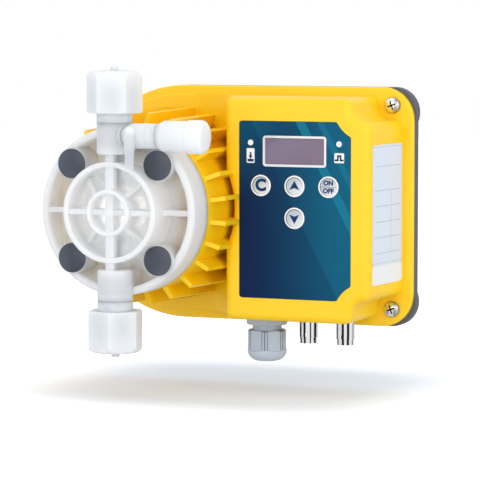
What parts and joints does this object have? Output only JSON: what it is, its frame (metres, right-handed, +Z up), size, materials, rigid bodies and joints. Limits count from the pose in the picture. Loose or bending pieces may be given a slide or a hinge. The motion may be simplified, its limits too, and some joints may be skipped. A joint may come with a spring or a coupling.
{
  "type": "diaphragm metering pump",
  "caption": "Wall-mounted electromagnetic diaphragm metering pump: finned yellow housing, ribbed white pump head with ball valves, bleed knob and keypad block.",
  "frame": {"origin": "point of the wall face on the axis of the pump head and plunger", "axes": "+X to the right towards the control block, +Z up along the valve axis, +Y into the wall; the pump stands out towards -Y"},
  "size_m": [0.2073, 0.1189, 0.1664],
  "materials": {
    "yellow_plastic": "satin moulded",
    "grey_plastic": "fine spark texture",
    "dark_grey_plastic": "smooth matt",
    "natural_plastic": "translucent natural",
    "black_rubber": "matt",
    "green_rubber": "matt",
    "white_membrane": "smooth",
    "zinc_steel": "bright zinc",
    "stainless_steel": "turned",
    "magnet_iron": "machined, oiled",
    "bronze": "sintered",
    "brass_parts": "turned",
    "copper_coil": "enamelled wire",
    "bobbin_plastic": "moulded",
    "ceramic": "polished",
    "panel_film": "printed film",
    "silver_plastic": "satin silver",
    "window": "clear",
    "module": "smooth",
    "lamp": "clear lens",
    "board": "solder mask",
    "black_plastic": "moulded",
    "green_plastic": "moulded",
    "label_film": "matt print",
    "sticker_film": "matt print",
    "gland_plastic": "moulded",
    "nickel": "bright nickel",
    "gold": "plated"
  },
  "bodies": {
    "housing": {"cover": "yellow_plastic", "back_plate": "grey_plastic", "housing_gasket": "black_rubber", "wall_inserts": "brass_parts", "cover_screws": "zinc_steel", "magnet_screws": "zinc_steel", "magnet_yoke": "magnet_iron", "pole_plate": "magnet_iron", "coil_bobbin": "bobbin_plastic", "coil_winding": "copper_coil", "shaft_bushes": "bronze", "return_spring": "stainless_steel", "backing_disc": "natural_plastic", "shaft_seal": "black_rubber", "diaphragm": "white_membrane", "pump_head": "natural_plastic", "head_screws": "stainless_steel", "screw_caps": "dark_grey_plastic", "discharge_valve_body": "natural_plastic", "suction_valve_body": "natural_plastic", "valve_seats": "natural_plastic", "valve_seals": "green_rubber", "tube_nozzles": "natural_plastic", "clamp_rings": "natural_plastic", "bleed_body": "natural_plastic", "control_panel": "panel_film", "display_bezel": "silver_plastic", "display_window": "window", "display_module": "module", "status_lamps": "lamp", "circuit_board": "board", "key_switches": "black_plastic", "board_screws": "zinc_steel", "transformer": "black_plastic", "terminal_block": "green_plastic", "rating_label": "label_film", "serial_sticker": "sticker_film", "gland_body": "gland_plastic", "gland_locknut": "gland_plastic", "gland_seal": "black_rubber", "bnc_shells": "nickel", "bnc_insulators": "natural_plastic", "bnc_contacts": "gold", "bnc_nuts": "nickel"},
    "plunger": {"armature": "magnet_iron", "plunger_shaft": "stainless_steel", "diaphragm_insert": "stainless_steel"},
    "clear_button": {"clear_button": "silver_plastic"},
    "up_button": {"up_button": "silver_plastic"},
    "on_off_button": {"on_off_button": "silver_plastic"},
    "down_button": {"down_button": "silver_plastic"},
    "discharge_ball": {"discharge_ball": "ceramic"},
    "suction_ball": {"suction_ball": "ceramic"},
    "bleed_valve": {"bleed_knob": "natural_plastic", "bleed_stem": "natural_plastic", "bleed_seal": "green_rubber"},
    "discharge_nut": {"discharge_nut": "natural_plastic"},
    "suction_nut": {"suction_nut": "natural_plastic"},
    "gland_nut": {"gland_nut": "gland_plastic"}
  },
  "joints": [
    {"name": "plunger_stroke", "type": "slide", "parent": "housing", "child": "plunger", "axis": [0, -1, 0], "range_m": [0, 0.00125], "stiffness_N_per_m": 2000, "springref_m": -0.002, "deforming": ["return_spring", "diaphragm"]},
    {"name": "clear_button_press", "type": "slide", "parent": "housing", "child": "clear_button", "axis": [0, 1, 0], "range_m": [0, 0.0004], "stiffness_N_per_m": 300, "springref_m": -0.0005},
    {"name": "up_button_press", "type": "slide", "parent": "housing", "child": "up_button", "axis": [0, 1, 0], "range_m": [0, 0.0004], "stiffness_N_per_m": 300, "springref_m": -0.0005},
    {"name": "on_off_button_press", "type": "slide", "parent": "housing", "child": "on_off_button", "axis": [0, 1, 0], "range_m": [0, 0.0004], "stiffness_N_per_m": 300, "springref_m": -0.0005},
    {"name": "down_button_press", "type": "slide", "parent": "housing", "child": "down_button", "axis": [0, 1, 0], "range_m": [0, 0.0004], "stiffness_N_per_m": 300, "springref_m": -0.0005},
    {"name": "discharge_ball_lift", "type": "slide", "parent": "housing", "child": "discharge_ball", "axis": [0, 0, 1], "range_m": [0, 0.0012]},
    {"name": "suction_ball_lift", "type": "slide", "parent": "housing", "child": "suction_ball", "axis": [0, 0, 1], "range_m": [0, 0.0012]},
    {"name": "bleed_turn", "type": "hinge", "parent": "housing", "child": "bleed_valve", "pos_m": [0.03, -0.1085, 0.042], "axis": [1, 0, 0], "range_deg": [0, 360]},
    {"name": "discharge_nut_turn", "type": "hinge", "parent": "housing", "child": "discharge_nut", "pos_m": [0, -0.102, 0.065], "axis": [0, 0, 1], "range_deg": [0, 360]},
    {"name": "suction_nut_turn", "type": "hinge", "parent": "housing", "child": "suction_nut", "pos_m": [0, -0.102, -0.065], "axis": [0, 0, -1], "range_deg": [0, 360]},
    {"name": "gland_nut_turn", "type": "hinge", "parent": "housing", "child": "gland_nut", "pos_m": [0.06, -0.03, -0.075], "axis": [0, 0, -1], "range_deg": [0, 360]}
  ]
}
